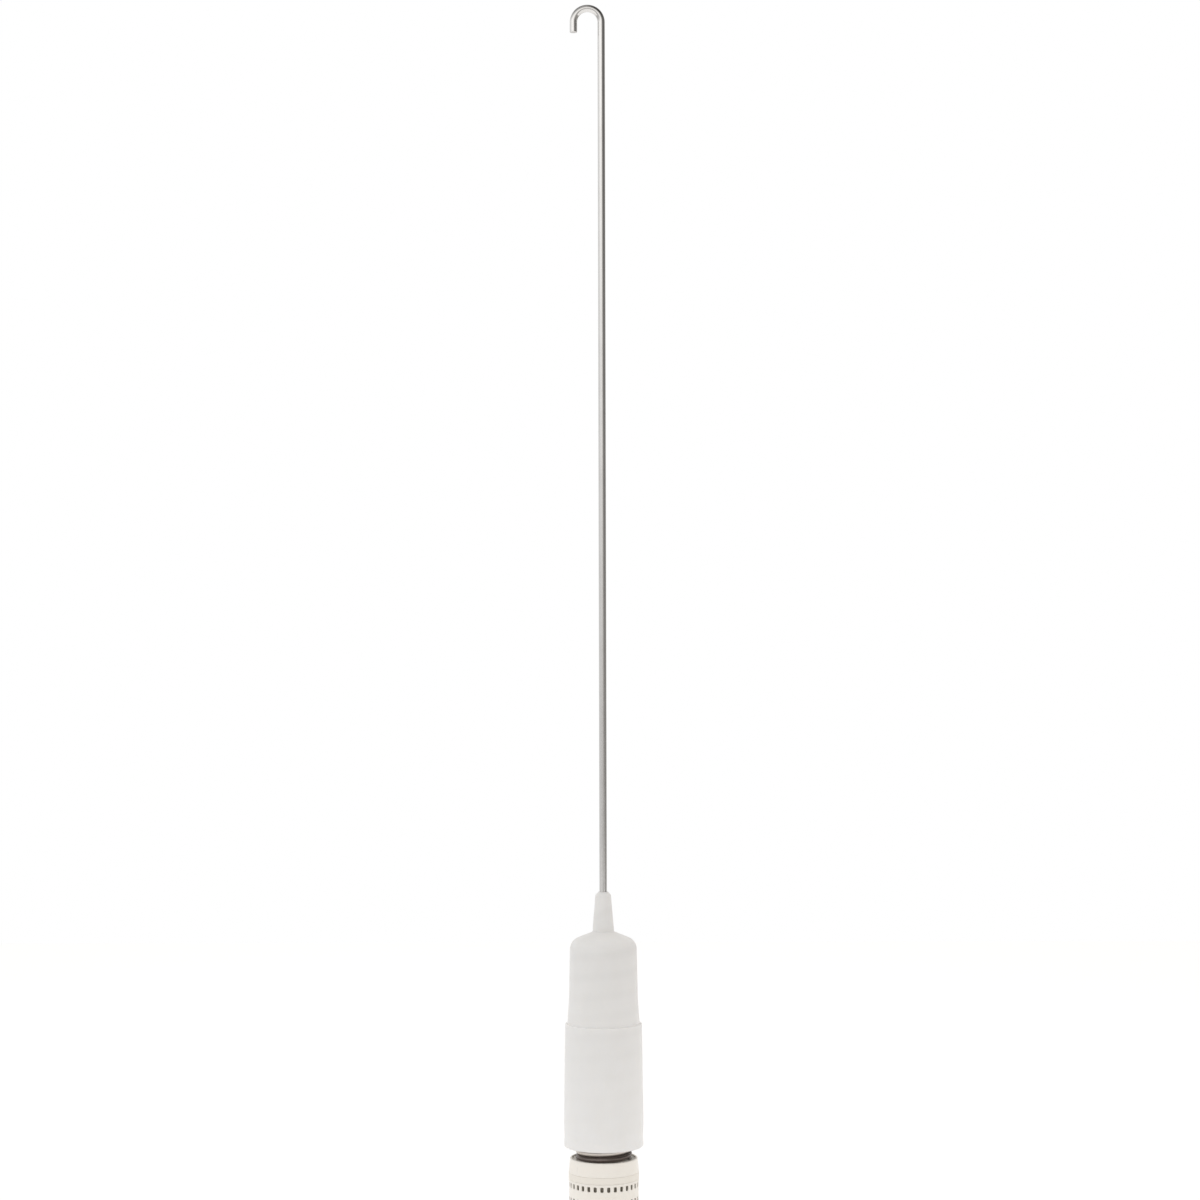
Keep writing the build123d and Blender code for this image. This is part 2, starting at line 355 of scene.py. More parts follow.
class Graph:
    """The nodes of a material, around one Principled shader, or of a world."""

    def __init__(self, owner: bpy.types.Material | bpy.types.World) -> None:
        """Starts the nodes of a new material or world."""
        owner.use_nodes = True
        self.owner = owner
        self.nodes, self.links = owner.node_tree.nodes, owner.node_tree.links
        self.shader = self.nodes.get("Principled BSDF")

    def add(self, kind: str, settings: dict | None = None, **inputs: object) -> bpy.types.Node:
        """Adds a node.

        Args:
            kind: The node's type name without the ShaderNode prefix.
            settings: Values for the node's own properties.
            inputs: Values for its sockets, or other nodes' sockets to link there. Spaces in
                a socket's name are underscores, and in0, in1 pick a socket by its place.

        Returns:
            The node.
        """
        node = self.nodes.new("ShaderNode" + kind)
        for key, value in (settings or {}).items():
            setattr(node, key, value)
        for key, value in inputs.items():
            place = int(key[2:]) if key[:2] == "in" and key[2:].isdigit() else key.replace("_", " ")
            self.set(node.inputs[place], value)
        return node

    def set(self, socket: bpy.types.NodeSocket, value: object) -> None:
        """Links a socket to another one, or gives it a value."""
        if isinstance(value, bpy.types.NodeSocket):
            self.links.new(value, socket)
        else:
            socket.default_value = value

    def math(self, operation: str, first: object, second: object = 0.0) -> bpy.types.NodeSocket:
        """Adds a Math node and returns its result."""
        return self.add("Math", {"operation": operation}, in0=first, in1=second).outputs[0]

    def noise(self, vector: object, scale: float, detail: float = 2.0, roughness: float = 0.5) -> object:
        """Adds a noise texture and returns its value."""
        made = self.add("TexNoise", None, Vector=vector, Scale=scale, Detail=detail, Roughness=roughness)
        return made.outputs[0]

    def span(
        self, value: object, low: float, high: float, from_low: float = 0.0, from_high: float = 1.0
    ) -> object:
        """Carries a value from one span to another, clamped, and returns it."""
        made = self.add(
            "MapRange", None, in0=value, From_Min=from_low, From_Max=from_high, To_Min=low, To_Max=high
        )
        return made.outputs[0]

    def blend(self, share: object, first: object, second: object) -> object:
        """Turns one colour into a second one by a share, and returns the colour."""
        made = self.add("Mix", {"data_type": "RGBA"}, in0=share)
        for place, value in ((6, first), (7, second)):
            self.set(made.inputs[place], value if isinstance(value, bpy.types.NodeSocket) else (*value, 1.0))
        return made.outputs[2]

    def pick(self, share: object, first: object, second: object) -> object:
        """Turns one number into a second one by a share, and returns the number."""
        return self.add("Mix", {"data_type": "FLOAT"}, in0=share, in2=first, in3=second).outputs[0]

    def levels(self, value: object, stops: Sequence[tuple[float, float]]) -> object:
        """Looks a value up among stops of position and grey level, and returns the level."""
        made = self.add("ValToRGB", None, in0=value)
        ramp = made.color_ramp
        while len(ramp.elements) < len(stops):
            ramp.elements.new(0.5)
        for element, (position, _) in zip(ramp.elements, stops):
            element.position = position
        for element, (position, level) in zip(ramp.elements, stops):
            element.position, element.color = position, (level, level, level, 1.0)
        return made.outputs[0]

    def bump(self, height: object, distance: float, normal: object = None) -> object:
        """Adds a bump of a depth in metres, over another one if given, and returns its normal."""
        node = self.add("Bump", None, Height=height, Distance=distance, Strength=1.0)
        if normal is not None:
            self.links.new(normal, node.inputs["Normal"])
        return node.outputs[0]

    def finish(self, **sockets: object) -> bpy.types.Material:
        """Sets the shader's sockets, named with underscores for spaces, and returns the material."""
        for key, value in sockets.items():
            self.set(self.shader.inputs[key.replace("_", " ")], value)
        return self.owner


@dataclass(frozen=True)
class Finish:
    """A named surface finish."""

    name: str

    def start(self) -> tuple[Graph, bpy.types.NodeSocket]:
        """Starts the finish's material and returns its nodes and its Object coordinates."""
        graph = Graph(bpy.data.materials.new(self.name))
        return graph, graph.add("TexCoord").outputs["Object"]


@dataclass(frozen=True)
class DrawnWire(Finish):
    """Drawn steel wire: fine lines along its length, long soft changes of brightness and, where set, painted
    shade over the first stretch of its length.
    """

    pale: Colour
    dark: Colour
    roughness: float
    tarnish: float
    line_length: float = 45 * MM
    line_width: float = 0.16 * MM
    line_depth: float = 0.004 * MM
    metal: float = 1.0
    low_turn_shade: Colour = (0.13, 0.105, 0.095)
    low_turn_shade_start: float = 0.0
    low_turn_shade_end: float = 0.0

    def material(self) -> bpy.types.Material:
        """Builds the wire's material.

        Returns:
            The material.
        """
        graph, place = self.start()
        surface = graph.add("UVMap", {"uv_map": "surface"}).outputs[0]
        stretch = (1 / self.line_length, 1 / self.line_width, 1.0)
        lines = graph.noise(
            graph.add("Mapping", None, Vector=surface, Scale=stretch).outputs[0], 1.0, 3.0, 0.6
        )
        streak_stretch = (3 / self.line_length, 0.22 / self.line_width, 1.0)
        streaks = graph.noise(
            graph.add("Mapping", None, Vector=surface, Scale=streak_stretch).outputs[0], 1.0, 4.0, 0.65
        )
        blotches = graph.noise(place, 70.0, 4.0, 0.6)
        specks = graph.noise(place, 1500.0, 2.0, 0.5)
        share = graph.math("MULTIPLY", graph.span(blotches, 0, 1, 0.42, 0.72), self.tarnish)
        share = graph.math("ADD", share, graph.span(streaks, 0, self.tarnish, 0.45, 0.75))
        share = graph.math("ADD", share, graph.span(specks, 0, self.tarnish, 0.66, 0.78))
        colour = graph.blend(share, self.pale, self.dark)
        # Painted shade: over its first stretch the wire turns towards a dark colour, with a blotchy edge, for
        # the shade on the coil's lowest turns.
        if self.low_turn_shade_end:
            along = graph.add("SeparateXYZ", None, in0=surface).outputs[0]
            edge = graph.math("ADD", along, graph.span(blotches, -6 * MM, 6 * MM, 0.3, 0.7))
            low_turn_shade_share = graph.span(edge, 0.92, 0, self.low_turn_shade_start, self.low_turn_shade_end)
            colour = graph.blend(low_turn_shade_share, colour, self.low_turn_shade)
        rough = graph.span(
            graph.math("ADD", lines, streaks), self.roughness * 0.75, self.roughness * 1.35, 0.7, 1.3
        )
        normal = graph.bump(lines, self.line_depth)
        return graph.finish(Base_Color=colour, Roughness=rough, Normal=normal, Metallic=self.metal)


@dataclass(frozen=True)
class PlatedSteel(Finish):
    """Zinc-plated pressed steel: a mottled, satin, slightly blue metal."""

    pale: Colour
    dark: Colour

    def material(self) -> bpy.types.Material:
        """Builds the plating's material.

        Returns:
            The material.
        """
        graph, place = self.start()
        mottle = graph.noise(place, 900.0, 3.0, 0.6)
        colour = graph.blend(graph.span(mottle, 0, 1, 0.35, 0.7), self.pale, self.dark)
        normal = graph.bump(mottle, 0.01 * MM)
        return graph.finish(
            Base_Color=colour, Roughness=graph.span(mottle, 0.28, 0.46), Normal=normal, Metallic=1.0
        )


@dataclass(frozen=True)
class MouldedPlastic(Finish):
    """Moulded nylon or polypropylene: a satin skin, faint clouding, fine grain, a few scuffs."""

    colour: Colour
    cloud: Colour
    roughness: float
    glow: float
    glow_depth: Colour = (3.0 * MM, 2.8 * MM, 2.5 * MM)
    grain: float = 0.012 * MM
    scuff: float = 0.35

    def clouded(self, graph: Graph, place: object) -> object:
        """Mixes the resin's two tones by slow clouds, then by a few thin scuffs.

        Args:
            graph: The material's nodes.
            place: Object coordinates.

        Returns:
            The colour.
        """
        tone = graph.blend(
            graph.span(graph.noise(place, 85.0, 3.0, 0.55), 0, 1, 0.3, 0.75), self.colour, self.cloud
        )
        thin = graph.add("Mapping", None, Vector=place, Scale=(420.0, 420.0, 60.0), Rotation=(0.5, 0.35, 0.0))
        scuffs = graph.span(graph.noise(thin.outputs[0], 1.0, 5.0, 0.7), 0, self.scuff, 0.66, 0.8)
        dull = tuple(0.72 * part for part in self.colour)
        return graph.blend(scuffs, tone, dull)

    def material(self) -> bpy.types.Material:
        """Builds the plastic's material.

        Returns:
            The material.
        """
        graph, place = self.start()
        return self.skin(graph, place, self.clouded(graph, place))

    def skin(self, graph: Graph, place: object, colour: object) -> bpy.types.Material:
        """Adds the satin skin: grain, waviness and the light that soaks into the resin.

        Args:
            graph: The material's nodes.
            place: Object coordinates.
            colour: The resin's colour.

        Returns:
            The material.
        """
        grain = graph.noise(place, 3200.0, 2.0, 0.5)
        waves = graph.noise(place, 160.0, 2.0, 0.5)
        normal = graph.bump(grain, self.grain, graph.bump(waves, 4 * self.grain))
        rough = graph.span(graph.noise(place, 240.0, 3.0, 0.6), self.roughness - 0.06, self.roughness + 0.08)
        return graph.finish(
            Base_Color=colour, Roughness=rough, Normal=normal, Subsurface_Weight=self.glow,
            Subsurface_Radius=self.glow_depth, Subsurface_Scale=1.0, IOR=1.49
        )


@dataclass(frozen=True)
class PocketedPlastic(MouldedPlastic):
    """The base's plastic, with painted shade in the floors of the skirt's pockets."""

    axis_x: float = 0.0
    skirt: float = 0.0
    top: float = 0.0
    bottom: float = 0.0
    depth: float = 0.0
    recess_shade: Colour = (0.17, 0.15, 0.11)

    def material(self) -> bpy.types.Material:
        """Builds the plastic's material with the painted shade in its pockets.

        The painted shade grows with the depth under the skirt's face: the skirt's radius less the
        square root of the summed squares of the two distances from the axis.

        Returns:
            The material.
        """
        graph, place = self.start()
        split = graph.add("SeparateXYZ", None, in0=place)
        off = graph.math("SUBTRACT", split.outputs[0], self.axis_x)
        square = graph.math("ADD", graph.math("POWER", off, 2.0), graph.math("POWER", split.outputs[1], 2.0))
        radius = graph.math("SQRT", square)
        # Painted shade: the pocket floors darken with their depth, between the band and the foot.
        share = graph.span(radius, 0.95, 0, self.skirt - 0.6 * self.depth, self.skirt - 0.05 * MM)
        share = graph.math(
            "MULTIPLY", share, graph.math("GREATER_THAN", radius, self.skirt - 1.4 * self.depth)
        )
        share = graph.math("MULTIPLY", share, graph.math("LESS_THAN", split.outputs[2], self.top))
        share = graph.math("MULTIPLY", share, graph.math("GREATER_THAN", split.outputs[2], self.bottom))
        return self.skin(graph, place, graph.blend(share, self.clouded(graph, place), self.recess_shade))


@dataclass(frozen=True)
class ThinMoulding(MouldedPlastic):
    """The housing's plastic, with the shade of the coil behind its thin wall painted into its colour as faint
    bands.
    """

    axis_x: float = 0.0
    pitch: float = 10.8 * MM
    wire_height: float = 0.0
    fade_top: float = 0.0
    fade_bottom: float = -1.0
    shadow: Colour = (0.34, 0.33, 0.31)
    shade: float = 0.165
    band: float = 0.035

    def material(self) -> bpy.types.Material:
        """Builds the plastic's material with the coil's painted shade.

        The painted shade of a band follows the cosine of a full turn times the height over the pitch,
        less the angle round the axis over a full turn. It fades out towards the rim, so the housing is darker
        towards the top.

        Returns:
            The material.
        """
        graph, place = self.start()
        centred = graph.add("Mapping", None, Vector=place, Location=(-self.axis_x, 0.0, -self.wire_height))
        split = graph.add("SeparateXYZ", None, in0=centred.outputs[0])
        angle = graph.math("ARCTAN2", split.outputs[1], split.outputs[0])
        # Painted shade: helical bands where the coil lies behind the wall, over an even darkening, both
        # fading out towards the rim.
        rise = graph.math("MULTIPLY", split.outputs[2], FULL_TURN / self.pitch)
        wave = graph.math("COSINE", graph.math("SUBTRACT", rise, angle))
        depth = graph.span(wave, self.shade, self.shade + self.band, -0.2, 1.0)
        low, high = self.fade_bottom - self.wire_height, self.fade_top - self.wire_height
        share = graph.math("MULTIPLY", depth, graph.span(split.outputs[2], 0, 1, low, high))
        return self.skin(graph, place, graph.blend(share, self.clouded(graph, place), self.shadow))


@dataclass(frozen=True)
class MouldedRubber(Finish):
    """Black rubber with a dusty bloom."""

    colour: Colour
    bloom: Colour

    def material(self) -> bpy.types.Material:
        """Builds the rubber's material.

        Returns:
            The material.
        """
        graph, place = self.start()
        dust = graph.noise(place, 1200.0, 3.0, 0.6)
        colour = graph.blend(graph.span(dust, 0, 0.5, 0.5, 0.8), self.colour, self.bloom)
        return graph.finish(
            Base_Color=colour, Roughness=graph.span(dust, 0.5, 0.7), Normal=graph.bump(dust, 0.01 * MM)
        )


def dress(piece: bpy.types.Object, finish: Finish, slot: str, body: str, *nodes: str) -> None:
    """Gives a piece its finish, its body and the CAD nodes it stands for, and reports it.

    Args:
        piece: The finished object.
        finish: Its finish.
        slot: The record's material slot; not used.
        body: The CAD body it rides on.
        nodes: The CAD nodes that it replaces.
    """
    piece.data.materials.append(finish.material())
    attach(piece, body)
    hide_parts(*nodes)
    log.info("%s: %d faces on body %s", piece.name, len(piece.data.polygons), body)


@dataclass
class HookRod:
    """The bent steel wire with its upset head, and the washer that rests on it."""

    axis: RodAxis
    section_columns: int = 40
    bend_rows: int = 72
    shank_rows: int = 60
    flattening: float = 0.015
    tip_round: float = 0.35 * MM
    head_dome: float = 0.25 * MM
    washer_round: float = 0.2 * MM

    def __post_init__(self) -> None:
        """Reads the wire's size and ends from the frame."""
        hook_low, hook_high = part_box("rod_hook")
        shank_low, shank_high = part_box("rod_shank")
        self.radius = hook_high.y
        self.bend_radius = self.axis.x
        self.bend_height = shank_high.z
        self.tip_height = hook_low.z
        self.head_bottom = shank_low.z
        self.head_radius = shank_high.y
        self.washer_low, self.washer_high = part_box("thrust_washer")

    def wire(self) -> bpy.types.Object:
        """Builds the shank, hook and leg as one tube, and the head as a turned button.

        The wire's centre goes up the shank, round half a turn of the bend radius and down
        the leg. A section is a circle across the path: its cosine part lies in the hook's
        plane and its sine part along Y. Round the bend the circle is a little flattened.

        Returns:
            The wire.
        """
        shank = np.linspace(self.washer_low.z - self.bend_height, -0.2 * MM, self.shank_rows)
        turn = np.linspace(0, math.pi, self.bend_rows)
        leg_length = self.bend_height - self.tip_height
        leg = np.array([0.5 * MM, leg_length / 2, leg_length - 2 * self.tip_round])
        corner = np.linspace(0, math.pi / 2, 6)
        tip = leg_length - self.tip_round * (1 - np.sin(corner))
        phase = np.concatenate([np.zeros(len(shank)), turn, np.full(len(leg) + len(tip), math.pi)])[:, None]
        extra = np.concatenate([shank, np.zeros(len(turn)), leg, tip])[:, None]
        radius = np.full(phase.shape, self.radius)
        radius[-len(tip):, 0] = self.radius - self.tip_round * (1 - np.cos(corner))
        angle = np.arange(self.section_columns)[None] * FULL_TURN / self.section_columns
        squeeze = self.flattening * np.sin(phase)
        outward = radius * (1 - squeeze) * np.cos(angle)
        sideways = radius * (1 + squeeze) * np.sin(angle)
        x = (self.bend_radius + outward) * np.cos(phase) - extra * np.sin(phase)
        z = self.bend_height + (self.bend_radius + outward) * np.sin(phase) + extra * np.cos(phase)
        points = gathered(x, sideways, z)
        along = (self.bend_radius * phase + np.abs(extra) * np.sign(np.cos(phase)) * np.sign(extra))[:, 0]
        shells = Shells()
        shells.add(
            points, Winding.TUBE, along, np.linspace(0, FULL_TURN * self.radius, self.section_columns + 1)
        )
        self.head(shells)
        return shells.piece("hook_wire")

    def head(self, shells: Shells) -> None:
        """Adds the upset head: a slightly domed button under the washer.

        Args:
            shells: The wire's shells.
        """
        top, bottom, radius = self.washer_low.z, self.head_bottom, self.head_radius
        outline = rounded([
            (0.4 * self.radius, top, 0.0), (radius, top, 0.3 * MM), (radius, bottom + 0.9 * MM, 0.5 * MM),
            (radius - 0.8 * MM, bottom + self.head_dome, 0.5 * MM), (0.4 * self.radius, bottom, 0.0),
        ])
        self.axis.ring(shells, outline, 72)
        self.axis.disc(shells, (self.axis.x, 0.0, bottom + 0.06 * MM), self.radius, -0.06 * MM)

    def washer(self) -> bpy.types.Object:
        """Builds the washer: one edge rolled round by the punch, the other nearly sharp.

        Returns:
            The washer.
        """
        low, high, hole = self.washer_low.z, self.washer_high.z, self.radius + 0.05 * MM
        corners = [
            (hole, low, 0.05 * MM), (self.washer_high.y, low, 0.05 * MM),
            (self.washer_high.y, high, self.washer_round), (hole, high, self.washer_round),
        ]
        return self.axis.turned("washer", 80, corners)

    def build(self) -> None:
        """Makes and dresses the wire and the washer."""
        steel = DrawnWire("drawn_steel", (0.79, 0.78, 0.765), (0.52, 0.50, 0.48), 0.15, 0.16)
        dress(self.wire(), steel, "rod_steel", "rod", "rod_hook", "rod_shank")
        zinc = PlatedSteel("zinc_plate", (0.62, 0.63, 0.64), (0.44, 0.45, 0.46))
        dress(self.washer(), zinc, "washer_steel", "rod", "thrust_washer")


@dataclass
class Coil:
    """The compression spring with closed, ground ends."""

    axis: RodAxis
    wire_radius: float = 1.6 * MM
    closed_turns: float = 2.0
    active_turns: float = 9.6
    closed_pitch: float = 3.24 * MM
    ground: float = 0.8 * MM
    blend_turns: float = 0.5
    tip_angle: float = math.radians(-18)
    rows_per_turn: int = 72
    section_columns: int = 22
    stroke: float = 70 * MM

    def __post_init__(self) -> None:
        """Reads the spring's ends and size from the frame."""
        low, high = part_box("coil_spring")
        self.foot, self.top = low.z, high.z
        self.coil_radius = round((high.y - low.y) / 2, 5) - self.wire_radius
        self.turns = 2 * self.closed_turns + self.active_turns
        rise = self.top - self.foot + 2 * (self.wire_radius - self.ground)
        self.pitch = (rise - 2 * self.closed_turns * self.closed_pitch) / self.active_turns

    def gained(self, turn: np.ndarray) -> np.ndarray:
        """Full-pitch turns gained since the pitch began to open: none at first, the cube less
        half of the fourth power of the share while it opens, and then turn for turn.

        Args:
            turn: Turns since the pitch began to open.

        Returns:
            The turns gained.
        """
        share = np.clip(turn / self.blend_turns, 0, 1)
        return self.blend_turns * (share**3 - share**4 / 2) + np.maximum(turn - self.blend_turns, 0)

    def centre_height(self, turn: np.ndarray) -> np.ndarray:
        """Height of the wire's centre after some turns from the lower tip.

        Args:
            turn: Turns from the lower tip.

        Returns:
            The heights.
        """
        half = self.blend_turns / 2
        opened = self.gained(turn - self.closed_turns + half)
        closed = self.gained(turn - self.turns + self.closed_turns + half)
        rise = self.closed_pitch * turn + (self.pitch - self.closed_pitch) * (opened - closed)
        return self.foot + self.ground - self.wire_radius + rise

    def wire(self) -> bpy.types.Object:
        """Builds the coil: a circle carried along the helix, its two ends ground flat.

        A section's cosine part points away from the axis and its sine part lies across both
        that and the path. Points past either end plane are brought back to the plane.

        Returns:
            The coil.
        """
        rows = int(self.turns * self.rows_per_turn)
        turn = np.linspace(0, self.turns, rows)
        angle = self.tip_angle + FULL_TURN * turn
        slope = np.gradient(self.centre_height(turn), turn) / (FULL_TURN * self.coil_radius)
        level = 1 / np.sqrt(1 + slope**2)
        section = np.arange(self.section_columns)[None] * FULL_TURN / self.section_columns
        out = self.wire_radius * np.cos(section)
        across = self.wire_radius * np.sin(section)
        radial = np.stack([np.cos(angle), np.sin(angle), 0 * angle], axis=-1)[:, None]
        tilted = np.stack(
            [slope * level * np.sin(angle), -slope * level * np.cos(angle), level], axis=-1
        )[:, None]
        centre = self.axis.place(self.coil_radius, angle, self.centre_height(turn))[:, None]
        points = centre + out[..., None] * radial + across[..., None] * tilted
        points[..., 2] = np.clip(points[..., 2], self.foot, self.top)
        shells = Shells()
        along = turn * FULL_TURN * self.coil_radius
        around = np.linspace(0, FULL_TURN * self.wire_radius, self.section_columns + 1)
        shells.add(points, Winding.TUBE, along, around)
        return shells.piece("coil")

    def build(self) -> None:
        """Makes and dresses the coil, and gives it its own copy of its mesh."""
        turn_length = FULL_TURN * self.coil_radius
        # The coil's lowest turn gets painted shade, which fades out by about one and a half turns.
        steel = DrawnWire(
            name="spring_wire", pale=(0.66, 0.62, 0.575), dark=(0.30, 0.26, 0.23), roughness=0.3, tarnish=0.3,
            line_width=0.3 * MM, metal=0.85, low_turn_shade_start=1.0 * turn_length, low_turn_shade_end=1.45 * turn_length
        )
        coil = self.wire()
        dress(coil, steel, "spring_steel", "base", "coil_spring")
        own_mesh(coil)


@dataclass
class BaseCup:
    """The base: piston, spring cup and pocketed skirt, with the split ring in its groove."""

    axis: RodAxis
    seat: float
    rim_lip: float = 1.2 * MM
    rim_drop: float = 0.8 * MM
    collar_height: float = 7.6 * MM
    band_height: float = 5.0 * MM
    groove_height: float = 3.7 * MM
    groove_depth: float = 1.5 * MM
    skirt_drop: float = 0.2 * MM
    wall: float = 3.2 * MM
    deck: float = 3.0 * MM
    boss_radius: float = 11.75 * MM
    boss_wall: float = 2.0 * MM
    boss_height: float = 4.0 * MM
    hub_radius: float = 5.5 * MM
    hub_length: float = 19.0 * MM
    bore: float = 2.05 * MM
    pockets: int = 32
    pocket_start: float = math.radians(8)
    pocket_width: float = 1.8 * MM
    pocket_depth: float = 1.4 * MM
    pocket_height: float = 2.8 * MM
    hoop_height: float = 5.0 * MM
    pocket_power: float = 3.2
    drains: int = 4
    drain_radius: float = 1.4 * MM
    webs: int = 6
    web_thickness: float = 1.6 * MM
    web_height: float = 10.0 * MM

    def __post_init__(self) -> None:
        """Reads the base's ends and radius from the frame."""
        low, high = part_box("damper_base")
        self.foot = low.z
        self.radius = high.y
        self.rim = self.seat + 0.6 * MM
        self.band_top = self.rim - self.collar_height
        self.band_bottom = self.band_top - self.band_height
        self.hoop_top = self.band_bottom - self.pocket_height
        self.hoop_bottom = self.hoop_top - self.hoop_height
        self.under_deck = self.seat - self.deck
        self.skirt = self.radius - self.skirt_drop
        self.skirt_inside = self.skirt - self.wall
        self.ring_low, self.ring_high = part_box("piston_ring")
        self.shells = Shells()

    def pocket_rows(self) -> list[Corner]:
        """Plain points down the skirt's face, close together over both rows of pockets.

        Returns:
            Outline corners with no rounding, from the foot up to the band.
        """
        share = (1 - np.cos(np.linspace(0, math.pi, 13))) / 2
        tops = np.array([self.hoop_bottom, self.band_bottom])
        heights = (tops[:, None] - self.pocket_height * (1 - share[None])).ravel()[:-1]
        return [(self.skirt, float(height), 0.0) for height in heights]

    def body_outline(self) -> np.ndarray:
        """Outline of the cup's wall, deck edge and spring boss.

        Returns:
            Points as radius and height.
        """
        radius, rim = self.radius, self.rim
        groove = self.band_top - self.groove_height
        inner_boss = self.boss_radius - self.boss_wall
        lip = radius - self.rim_drop - self.rim_lip
        boss_top = self.seat + self.boss_height
        return rounded([
            (inner_boss, self.under_deck, 0.0), (self.skirt_inside, self.under_deck, 0.8 * MM),
            (self.skirt_inside, self.foot, 0.3 * MM), (self.skirt, self.foot, 0.5 * MM), *self.pocket_rows(),
            (self.skirt, self.band_bottom, 0.08 * MM), (radius, self.band_bottom, 0.22 * MM),
            (radius, groove, 0.12 * MM), (radius - self.groove_depth, groove, 0.05 * MM),
            (radius - self.groove_depth, self.band_top, 0.05 * MM), (radius, self.band_top, 0.12 * MM),
            (radius - self.rim_drop, rim, 0.9 * MM), (lip, rim, 0.25 * MM), (lip, self.seat, 0.3 * MM),
            (self.boss_radius, self.seat, 0.3 * MM), (self.boss_radius, boss_top, 0.8 * MM),
            (inner_boss, boss_top, 0.3 * MM),
        ], steps=5)

    def pocket_angles(self) -> np.ndarray:
        """Angles of the columns: close together over each pocket and wide apart between.

        Returns:
            The angles, rising, over one full turn.
        """
        pitch = FULL_TURN / self.pockets
        half = self.pocket_width / self.skirt / 2
        across = -half * np.cos(np.linspace(0, math.pi, 10))
        between = np.linspace(half, pitch - half, 5)[1:-1]
        first = self.pocket_start + np.concatenate([across, between])
        return (np.arange(self.pockets)[:, None] * pitch + first).ravel()

    def sunk(self, outline: np.ndarray, angle: np.ndarray) -> np.ndarray:
        """Depth of the pockets at each point of the wall.

        In a pocket, the offsets from its middle over its half sizes, each raised to a power
        and added, are below one. The floor is flat and the walls rise over the last part.

        Args:
            outline: Outline points as radius and height.
            angle: Angles of the columns.

        Returns:
            Depths, rows by columns.
        """
        pitch = FULL_TURN / self.pockets
        half = self.pocket_width / self.skirt / 2
        off = np.abs((angle - self.pocket_start + pitch / 2) % pitch - pitch / 2) / half
        middles = np.array([self.hoop_bottom, self.band_bottom])[:, None] - self.pocket_height / 2
        rise = np.abs(outline[None, :, 1] - middles).min(0) / (self.pocket_height / 2)
        inside = 1 - off[None] ** self.pocket_power - rise[:, None] ** self.pocket_power
        wall = np.clip(inside / 0.35, 0, 1)
        on_face = np.abs(outline[:, 0] - self.skirt) < 0.01 * MM
        return self.pocket_depth * wall * (2 - wall) * on_face[:, None]

    def wall_shell(self) -> None:
        """Adds the cup's wall: the outline turned round the axis, less the pockets' depth."""
        outline, angle = self.body_outline(), self.pocket_angles()
        radius = outline[:, :1] - self.sunk(outline, angle)
        points = self.axis.place(radius, angle[None], outline[:, 1:])
        around = np.concatenate([angle, [angle[0] + FULL_TURN]]) * self.radius
        self.shells.add(points, Winding.RING, path_lengths(outline), around)

    def hub_shell(self) -> None:
        """Adds the bored hub that the rod passes through."""
        top, bottom = self.seat + self.boss_height, self.seat - self.hub_length
        outline = rounded([
            (self.bore, bottom, 0.25 * MM), (self.hub_radius, bottom, 0.5 * MM),
            (self.hub_radius, top, 0.8 * MM), (self.bore, top, 0.3 * MM),
        ])
        self.axis.ring(self.shells, outline, 72)

    def deck_shells(self) -> None:
        """Adds the deck between hub and boss, pierced by the drains.

        Each drain has its own sector. A ray from the drain's centre at each angle meets the
        sector's border, a rectangle in radius and angle, at the smaller of the two ratios of
        half size to direction. The deck's face runs in straight lines from the drain's rim
        to that border, and its section goes round over the top and back underneath.
        """
        inner, outer = self.hub_radius - 0.3 * MM, self.boss_radius - self.boss_wall + 0.3 * MM
        middle = (self.hub_radius + self.boss_radius - self.boss_wall) / 2
        half_turn = math.pi / self.drains
        top, bottom, edge = self.seat - 0.02 * MM, self.under_deck + 0.02 * MM, 0.25 * MM
        corner = math.atan2(half_turn * middle, (outer - inner) / 2)
        corners = np.array([corner, math.pi - corner, math.pi + corner, FULL_TURN - corner])
        ray = np.sort(np.concatenate([np.arange(64) * FULL_TURN / 64, corners]))
        along, across = np.cos(ray), np.sin(ray)
        reach_radius = np.where(along > 0, outer - middle, middle - inner) / np.maximum(np.abs(along), 1e-9)
        reach = np.minimum(reach_radius, half_turn * middle / np.maximum(np.abs(across), 1e-9))
        share = np.array([0.0, 0.0, 0.0, 0.06, 1.0, 1.0, 0.06, 0.0, 0.0])[:, None]
        grow = np.array([0.0, 0.3, 1.0, 0.0, 0.0, 0.0, 0.0, 1.0, 0.3])[:, None] * edge
        height = np.array(
            [top - edge, top - 0.3 * edge, top, top, top, bottom, bottom, bottom, bottom + 0.3 * edge]
        )
        hole = self.drain_radius + grow
        for number in range(self.drains):
            turn = number * 2 * half_turn
            border_angle = turn + reach * across / middle
            border_radius = middle + reach * along
            rim_x = middle * math.cos(turn) + hole * np.cos(ray + turn)
            rim_y = middle * math.sin(turn) + hole * np.sin(ray + turn)
            x = self.axis.x + (1 - share) * rim_x + share * border_radius * np.cos(border_angle)
            y = (1 - share) * rim_y + share * border_radius * np.sin(border_angle)
            points = gathered(x, y, height[:, None])
            self.shells.add(points, Winding.RING, np.arange(10) * MM, np.linspace(0, 9 * MM, len(ray) + 1))

